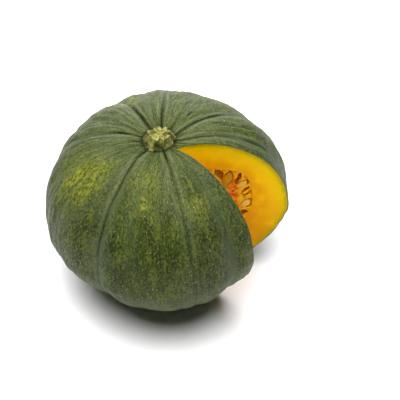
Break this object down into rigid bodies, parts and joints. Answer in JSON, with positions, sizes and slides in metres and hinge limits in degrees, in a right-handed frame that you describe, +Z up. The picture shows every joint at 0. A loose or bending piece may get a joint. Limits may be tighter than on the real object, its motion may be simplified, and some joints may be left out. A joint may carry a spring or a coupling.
{
  "type": "cut pumpkin",
  "caption": "Green ribbed winter squash, standing whole but for one wedge cut out from stem to base, showing its yellow flesh, fibrous pulp and seeds.",
  "frame": {"origin": "on the surface it stands on, under the middle of the bounding box", "axes": "+Z up along the leaning stem axis, -Y towards the viewer of the uncut side, +X towards the cut-out wedge"},
  "size_m": [0.2177, 0.2256, 0.1615],
  "materials": {
    "rind": "dull waxy green squash skin",
    "flesh": "moist yellow squash flesh, knife cut",
    "pulp": "moist orange stringy pulp",
    "seeds": "smooth cream seed coat",
    "stem": "dry corky stalk"
  },
  "bodies": {
    "root": {"rind": "rind", "flesh": "flesh", "pulp": "pulp", "seeds_far_cut": "seeds", "seeds_near_cut": "seeds", "stem": "stem"}
  },
  "joints": []
}
